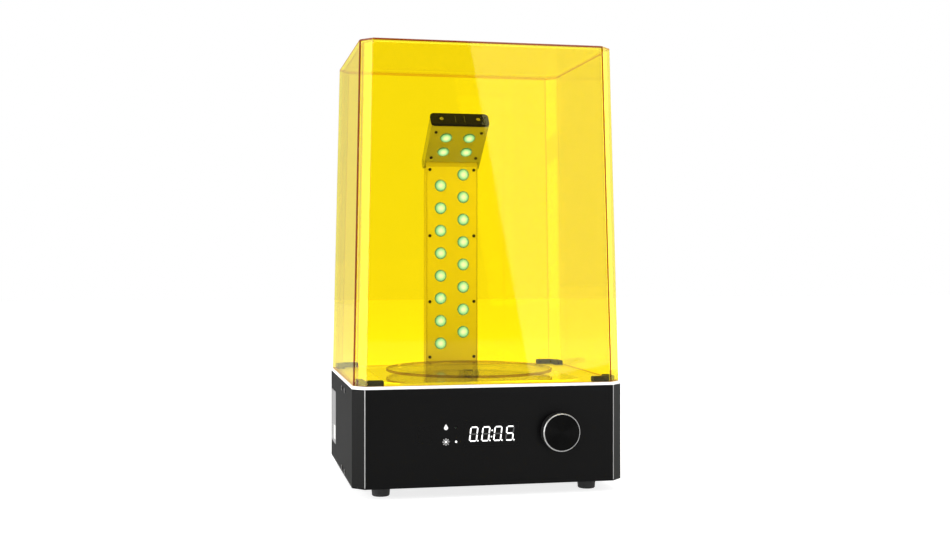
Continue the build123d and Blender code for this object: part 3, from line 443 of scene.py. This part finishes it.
# ---------------------------------------------------------------- lamp lenses
# The CAD lamp's lenses: two columns, the left one half a pitch lower, and two rows on the head.
LENS_RADIUS = 7.15 * MM
LENS_PITCH = 27.4 * MM
LENS_X = 14.0 * MM
LENS_ROWS = 8
FIRST_LENS_DROP = 15.3 * MM
HEAD_LENS_HEIGHTS = (25.8 * MM, 49.1 * MM)
HEAD_FACE_Y = -7.8 * MM
HEAD_TILT_AT_REST = 50.0
# Each ring of a lens: its share of the radius, how many mm behind the face it lies, and its rim value.
LENS_RINGS = ((1.0, 2.0, 1.0), (1.0, -0.3, 1.0), (0.97, -0.75, 0.98), (0.8, -1.0, 0.8), (0.5, -1.15, 0.5),
              (0.2, -1.2, 0.2))


def add_lenses(name, body, cad_node, frame_matrix, places, front):
    """Domed lenses on the lamp's face: rings from the rim to the middle, each with its own rim value."""
    bm = bmesh.new()
    rim_layer = bm.verts.layers.float.new("rim")
    for x, z in places:
        rings = []
        for share, behind, rim in LENS_RINGS:
            radius, y = LENS_RADIUS * share, front + behind * MM
            points = [Vector((x + radius * cos(turn), y, z + radius * sin(turn))) for turn in turns(24)]
            rings.append(ring_verts(bm, [frame_matrix @ point for point in points]))
            for vert in rings[-1]:
                vert[rim_layer] = rim
        for first, second in zip(rings, rings[1:]):
            join_rings(bm, first, second)
        bm.faces.new(rings[-1])
        bm.faces.new(rings[0])
    made = piece(name, bm, body, "lens", "led", smooth=40.0)
    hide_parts(cad_node)


def add_all_lenses():
    top = hinge_place().z - FIRST_LENS_DROP
    column_front = corner("column_plate", 0).y
    places = [(LENS_X, top - row * LENS_PITCH) for row in range(LENS_ROWS)]
    places += [(-LENS_X, top - (row + 0.5) * LENS_PITCH) for row in range(LENS_ROWS)]
    add_lenses("column_lamp_lenses", "base", "column_lenses", Matrix.Identity(4), places, column_front)
    along = [(sx * LENS_X, height) for sx in (-1, 1) for height in HEAD_LENS_HEIGHTS]
    add_lenses("head_lamp_lenses", "lamp_head", "head_lenses", head_matrix(), along, HEAD_FACE_Y)


def hinge_place():
    joint = next(j for j in frame["joints"] if j["name"] == "head_tilt")
    return Vector(joint["pos_m"])


def head_matrix():
    """Carries the upright head, with the hinge at its origin, to its tilt at rest."""
    return Matrix.Translation(hinge_place()) @ Matrix.Rotation(radians(HEAD_TILT_AT_REST), 4, "X")


# ---------------------------------------------------------------- turntable disc
DISC_BEVEL = 0.4 * MM
DISC_LINE, DISC_LINE_DEPTH = 0.5 * MM, 0.15 * MM
DISC_LINES = (0.86, 0.42)
DISC_STEPS = 128


def add_disc():
    """The clear disc with two fine rings cut in its top; its rim, bevels and the rings' walls take a darker
    tint, painted shade where the sheet is seen edge on.
    """
    low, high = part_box("turntable_disc")
    centre, radius = (low + high) / 2, (high.x - low.x) / 2
    flat = radius - DISC_BEVEL
    rows = [(0.0, low.z, 0), (flat, low.z, 0), (radius, low.z + DISC_BEVEL, 1), (radius, high.z - DISC_BEVEL, 1),
            (flat, high.z, 1)]
    for share in DISC_LINES:
        ring = share * radius
        rows += [(ring + DISC_LINE, high.z, 0), (ring + DISC_LINE / 2, high.z - DISC_LINE_DEPTH, 1),
                 (ring, high.z, 1)]
    rows.append((0.0, high.z, 0))
    bm = bmesh.new()
    rings = [ring_verts(bm, [(centre.x + r * cos(turn), centre.y + r * sin(turn), z)
                             for turn in (turns(DISC_STEPS) if r else [0.0])]) for r, z, _ in rows]
    for first, second, row in zip(rings, rings[1:], rows[1:]):
        if len(first) == 1 or len(second) == 1:
            hub, rim = (first[0], second) if len(first) == 1 else (second[0], first)
            for i in range(DISC_STEPS):
                bm.faces.new((hub, rim[i], rim[(i + 1) % DISC_STEPS])).material_index = row[2]
        else:
            join_rings(bm, first, second, material=row[2])
    made = piece("turntable_top", bm, "turntable", "clear_plastic", "disc", "disc_edge_shade", smooth=20.0)
    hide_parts("turntable_disc")


# ---------------------------------------------------------------- knob
KNOB_GROOVES = 26
KNOB_FACE_SHARE = 0.925
KNOB_FACE_DEPTH, KNOB_GROOVE_DEPTH = 0.55, 0.05


def add_knob():
    """The turned knob: a plain side, a bright rim, and a sunk face with fine turning grooves."""
    low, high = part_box("knob")
    centre = (low + high) / 2
    radius = (high.x - low.x) / 2
    side = [(0.85, high.y), (0.98, high.y), (1.0, high.y - 0.5 * MM), (1.0, low.y + 0.9 * MM)]
    edge = [(0.965, low.y), (0.945, low.y)]
    face = [(0.938, low.y + 0.45 * MM)]
    for i in range(KNOB_GROOVES):
        depth = KNOB_FACE_DEPTH + KNOB_GROOVE_DEPTH * (i % 2)
        face.append((KNOB_FACE_SHARE * (1 - i / KNOB_GROOVES), low.y + depth * MM))
    rows = [(share, y, index) for index, part in enumerate((side, edge, face)) for share, y in part]
    bm = bmesh.new()
    rings = [ring_verts(bm, [(centre.x + radius * share * cos(turn), y, centre.z + radius * share * sin(turn))
                             for turn in turns(96)]) for share, y, _ in rows]
    for first, second, row in zip(rings, rings[1:], rows[1:]):
        join_rings(bm, first, second, material=row[2])
    bm.faces.new(rings[-1]).material_index = 2
    bm.faces.new(rings[0])
    made = piece("knob_turned", bm, "knob", "black_plastic", "knob_side", "knob_edge", "knob_face",
                 smooth=25.0)
    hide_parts("knob")


def knob_materials():
    """Turned metal: the face's gloss is drawn out along its grooves."""
    materials["knob_side"] = finish_material("knob_side", (0.06, 0.06, 0.06), 0.3, metallic=0.8, grain=700.0,
                                             height=0.004 * MM, stretch=(1, 8, 1))
    materials["knob_edge"] = finish_material("knob_edge", (0.34, 0.34, 0.34), 0.3, metallic=0.3, grain=900.0,
                                             height=0.002 * MM)
    material, tree, shader = new_material("knob_face")
    fine = noise(tree, 1500.0)
    colours = shaded(tree, fine, (0.0025, 0.0025, 0.0025), (0.005, 0.005, 0.005))
    tree.links.new(colours, shader.inputs["Base Color"])
    tree.links.new(ranged(tree, fine, 0.28, 0.34), shader.inputs["Roughness"])
    shader.inputs["Metallic"].default_value = 0.9
    shader.inputs["Specular IOR Level"].default_value = 0.1
    shader.inputs["Anisotropic"].default_value = 0.8
    tangent = node(tree, "ShaderNodeTangent", direction_type="RADIAL", axis="Y")
    tree.links.new(tangent.outputs["Tangent"], shader.inputs["Tangent"])
    materials["knob_face"] = material


# ---------------------------------------------------------------- display and printed marks
SEGMENTS = {"0": "abcdef", "5": "acdfg"}
DIGIT_WIDTH = 8.6 * MM
DIGIT_HEIGHT = 15.6 * MM
DIGIT_PITCH = 12.9 * MM
DIGIT_SLANT = 0.12
STROKE = 1.35 * MM
SEGMENT_GAP = 0.35 * MM
POINT_GAP, POINT_HALF = 0.9 * MM, 0.8 * MM
COLON_HEIGHTS = (0.3, 0.72)
MARK_RISE = 0.12 * MM
MARK_X = -48.7 * MM
MARK_SIZE = 2.9 * MM
MARK_IN = 1.2 * MM
RAY_HALF = 0.3 * MM
MODE_LIGHT_HALF = 1.1 * MM


def mark(bm, points):
    """A thin raised outline on the front face: its points are (x, z)."""
    prism(bm, [(x, FRONT, z) for x, z in points], [(x, FRONT - MARK_RISE, z) for x, z in points])


def segment_points(segment):
    """The six-sided outline of one segment of a digit, about the digit's lower left corner."""
    w, h, s, gap = DIGIT_WIDTH, DIGIT_HEIGHT, STROKE / 2, SEGMENT_GAP
    level = {"a": h - s, "g": h / 2, "d": s}
    if segment in level:
        z = level[segment]
        left, right = s + gap, w - s - gap
        return [(left, z), (left + s, z + s), (right - s, z + s), (right, z), (right - s, z - s),
                (left + s, z - s)]
    x = s if segment in "ef" else w - s
    low, high = (s + gap, h / 2 - gap) if segment in "ec" else (h / 2 + gap, h - s - gap)
    return [(x, low), (x - s, low + s), (x - s, high - s), (x, high), (x + s, high - s), (x + s, low + s)]


def dot_points(x, z, half):
    return [(x + half * cos(pi * i / 6), z + half * sin(pi * i / 6)) for i in range(12)]


def add_digits():
    """Four seven-segment digits, 00:05, each with its point, and the segments that are off, which glow faintly
    of their own as painted light.
    """
    window = middle("display_window")
    left = window.x - (3 * DIGIT_PITCH + DIGIT_WIDTH) / 2
    base_z = window.z - DIGIT_HEIGHT / 2
    lit, dim = bmesh.new(), bmesh.new()

    def leaned(points, x):
        return [(left + x + px + DIGIT_SLANT * pz, base_z + pz) for px, pz in points]

    for place, digit in enumerate("0005"):
        x = place * DIGIT_PITCH - DIGIT_SLANT * DIGIT_HEIGHT / 2
        for segment in "abcdefg":
            bm = lit if segment in SEGMENTS[digit] else dim
            mark(bm, leaned(segment_points(segment), x))
        mark(lit, leaned(dot_points(DIGIT_WIDTH + POINT_GAP, POINT_HALF, POINT_HALF), x))
    colon = 1.5 * DIGIT_PITCH + DIGIT_WIDTH / 2 - DIGIT_SLANT * DIGIT_HEIGHT / 2
    for share in COLON_HEIGHTS:
        mark(lit, leaned(dot_points(colon, share * DIGIT_HEIGHT, POINT_HALF), 0))
    piece("display_digits", lit, "base", "smoked", "digit")
    piece("display_digits_off", dim, "base", "smoked", "unlit_segment_glow")


def add_mode_marks():
    """A drop for washing and a sun for curing, in place of words, and the dot beside the chosen one."""
    low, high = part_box("indicator_pipes")
    drop_z, sun_z = high.z - MARK_IN, low.z + MARK_IN
    inner, outer = 0.75 * MARK_SIZE, 1.25 * MARK_SIZE
    bm = bmesh.new()
    drop = [(MARK_X + inner * sin(pi * t / 8), drop_z - inner * cos(pi * t / 8)) for t in range(-5, 6)]
    mark(bm, drop + [(MARK_X, drop_z + 1.35 * MARK_SIZE)])
    mark(bm, dot_points(MARK_X, sun_z, 0.5 * MARK_SIZE))
    for turn in turns(8):
        along, across = Vector((cos(turn), sin(turn))), Vector((-sin(turn), cos(turn))) * RAY_HALF
        ray = [along * inner - across, along * outer - across, along * outer + across, along * inner + across]
        mark(bm, [(MARK_X + p.x, sun_z + p.y) for p in ray])
    piece("mode_marks", bm, "base", "smoked", "print")
    bm = bmesh.new()
    mark(bm, dot_points(middle("indicator_pipes").x, sun_z, MODE_LIGHT_HALF))
    piece("mode_light", bm, "base", "smoked", "digit")


# ---------------------------------------------------------------- small details
LABEL_PATCH_RISE = 0.05 * MM
LABEL_PATCH_FROM, LABEL_PATCH_SIZE = (4 * MM, 5 * MM), 16 * MM
BEVEL_CUT = 12.0 * MM
BEVEL_WIDTH, BEVEL_RISE = 0.45 * MM, 0.06 * MM
RIB_X, RIB_HALF, RIB_RISE = 5.5 * MM, 0.3 * MM, 0.25 * MM
RIB_FROM, RIB_TO = -6.0 * MM, 5.0 * MM


def add_label_block():
    """The blank white patch in the lower part of the side label."""
    low = corner("side_label", 0)
    y, z = low.y + LABEL_PATCH_FROM[0], low.z + LABEL_PATCH_FROM[1]
    outline = [(y, z), (y + LABEL_PATCH_SIZE, z), (y + LABEL_PATCH_SIZE, z + LABEL_PATCH_SIZE),
               (y, z + LABEL_PATCH_SIZE)]
    bm = bmesh.new()
    foot, top = ([(x, py, pz) for py, pz in outline] for x in (low.x, low.x - LABEL_PATCH_RISE))
    prism(bm, foot, top)
    piece("side_label_patch", bm, "base", "label", "label_white")


def add_bevels():
    """A light grey line down each upright edge where the front meets its cut corner: a painted highlight along
    the edge.
    """
    low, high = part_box("front_panel")
    half_x = corner("right_side_panel", 1).x
    face = FRONT - BEVEL_RISE
    bm = bmesh.new()
    for side in (-1, 1):
        x = side * (half_x - BEVEL_CUT)
        points = [(x + side * BEVEL_WIDTH, face + BEVEL_WIDTH), (x, face), (x - side * BEVEL_WIDTH, face)]
        outline = points + [(px, py + 2 * BEVEL_RISE) for px, py in reversed(points)]
        prism(bm, [(px, py, low.z) for px, py in outline], [(px, py, high.z) for px, py in outline])
    piece("edge_bevels", bm, "base", "black_metal", "bevel")


def add_cap_lines():
    """Two thin raised ribs on the lamp head's end cap."""
    matrix = head_matrix()
    cap = frame["nodes"]["head_cap"]
    end = max((matrix.inverted() @ cap.matrix_world @ vert.co).z for vert in cap.data.vertices)
    bm = bmesh.new()
    for x in (-RIB_X, RIB_X):
        left, right = x - RIB_HALF, x + RIB_HALF
        outline = [(left, RIB_FROM), (right, RIB_FROM), (right, RIB_TO), (left, RIB_TO)]
        foot, top = ([matrix @ Vector((px, py, z)) for px, py in outline] for z in (end, end + RIB_RISE))
        prism(bm, foot, top)
    piece("head_cap_ribs", bm, "lamp_head", "steel", "rib")


# ---------------------------------------------------------------- floor, world and lights
FLOOR_HALF = 6.0
FLOOR_DROP = 0.2 * MM
FLOOR_GLOW = 0.8
# The world's strength in front of the machine and behind it, and how far to either side it changes.
WORLD_FRONT, WORLD_BACK, WORLD_BLEND = 0.3, 1.0, 0.35
# The card's slanted left edge, from top to foot, and its size and radiance.
CARD_TOP, CARD_FOOT = (0.438, -2.2, 0.971), (0.61, -2.2, -0.012)
CARD_TALL, CARD_WIDE, CARD_RADIANCE = 1.5, 0.62, 4.4


def add_stage():
    """A wide white floor that glows a little, so that it stays white under the machine's shade."""
    bm = bmesh.new()
    bm.faces.new([bm.verts.new((sx * FLOOR_HALF, sy * FLOOR_HALF, -FLOOR_DROP))
                  for sx, sy in ((-1, -1), (1, -1), (1, 1), (-1, 1))])
    mesh = bpy.data.meshes.new("floor")
    bm.to_mesh(mesh)
    bm.free()
    white = finish_material("floor_white", (0.5, 0.5, 0.5), 0.6, specular=0.0, grain=30.0, height=0.01 * MM,
                            spread=0.01)
    lit = white.node_tree.nodes["Principled BSDF"].inputs
    lit["Emission Color"].default_value = (1, 1, 1, 1)
    lit["Emission Strength"].default_value = FLOOR_GLOW
    mesh.materials.append(white)
    floor = bpy.data.objects.new("floor", mesh)
    bpy.context.scene.collection.objects.link(floor)


def add_world():
    """White behind and at the sides, dimmer in front, as a white cove with its open side to the camera."""
    world = bpy.data.worlds.new("studio")
    world.use_nodes = True
    tree = world.node_tree
    background = tree.nodes["Background"]
    place = node(tree, "ShaderNodeTexCoord")
    parts = node(tree, "ShaderNodeSeparateXYZ")
    ramp = node(tree, "ShaderNodeMapRange")
    ramp.inputs["From Min"].default_value = -WORLD_BLEND
    ramp.inputs["From Max"].default_value = WORLD_BLEND
    ramp.inputs["To Min"].default_value = WORLD_FRONT
    ramp.inputs["To Max"].default_value = WORLD_BACK
    path = node(tree, "ShaderNodeLightPath")
    mix = node(tree, "ShaderNodeMix", data_type="FLOAT")
    tree.links.new(place.outputs["Generated"], parts.inputs["Vector"])
    tree.links.new(parts.outputs["Y"], ramp.inputs["Value"])
    tree.links.new(path.outputs["Is Camera Ray"], mix.inputs["Factor"])
    tree.links.new(ramp.outputs["Result"], mix.inputs["A"])
    mix.inputs["B"].default_value = WORLD_BACK
    tree.links.new(mix.outputs["Result"], background.inputs["Strength"])
    background.inputs["Color"].default_value = (1, 1, 1, 1)
    bpy.context.scene.world = world


def add_light(name, place, target, size, power):
    """A soft rectangle of light that faces its target."""
    data = bpy.data.lights.new(name, "AREA")
    data.shape = "RECTANGLE"
    data.size, data.size_y = size
    data.energy = power
    light = bpy.data.objects.new(name, data)
    light.location = place
    light.rotation_euler = (Vector(target) - Vector(place)).to_track_quat("-Z", "Y").to_euler()
    bpy.context.scene.collection.objects.link(light)


def add_card():
    """A tall card whose slanted left edge is the edge of the pale reflection in the cover's front."""
    top, foot = Vector(CARD_TOP), Vector(CARD_FOOT)
    along = (top - foot).normalized()
    across = Vector((along.z, 0, -along.x))
    data = bpy.data.lights.new("card", "AREA")
    data.shape = "RECTANGLE"
    data.size, data.size_y = CARD_WIDE, CARD_TALL
    data.energy = CARD_RADIANCE * pi * CARD_TALL * CARD_WIDE
    card = bpy.data.objects.new("card", data)
    card.location = foot + along * CARD_TALL / 2 + across * CARD_WIDE / 2
    backward = Vector((0, -1, 0))
    card.rotation_euler = Matrix((across, along, backward)).transposed().to_euler()
    bpy.context.scene.collection.objects.link(card)


def add_lights():
    aim = (0, BODY_Y, 0.2)
    add_light("left", (-1.8, -0.35, 0.45), aim, (0.9, 1.6), 34)
    add_light("top", (0, 0.2, 2.2), aim, (1.6, 1.6), 25)
    add_light("right", (1.8, 0.75, 0.5), aim, (0.6, 1.6), 9)
    add_light("front_fill", (-0.5, -1.8, 1.9), aim, (0.8, 0.8), 14)
    add_card()


# ---------------------------------------------------------------- the scene
add_camera()
add_world()
add_stage()
add_lights()
knob_materials()
materials["led"] = glow("led_glow", (0.075, 0.095, 1.0), ((0.024, 0.066, 0.6), (0.003, 0.016, 0.07)), 13.0)
materials["digit"] = emission("digit_lit", (0.9, 0.9, 0.9), 0.9)
# The unlit segments glow faintly: painted light for the light they would catch behind the window.
materials["unlit_segment_glow"] = emission("unlit_segment_glow", (0.03, 0.03, 0.03), 1.0)
paint_cad_nodes()
add_cover()
add_all_lenses()
add_disc()
add_knob()
add_digits()
add_mode_marks()
add_label_block()
add_bevels()
add_cap_lines()

bpy.context.scene.view_settings.view_transform = "Standard"
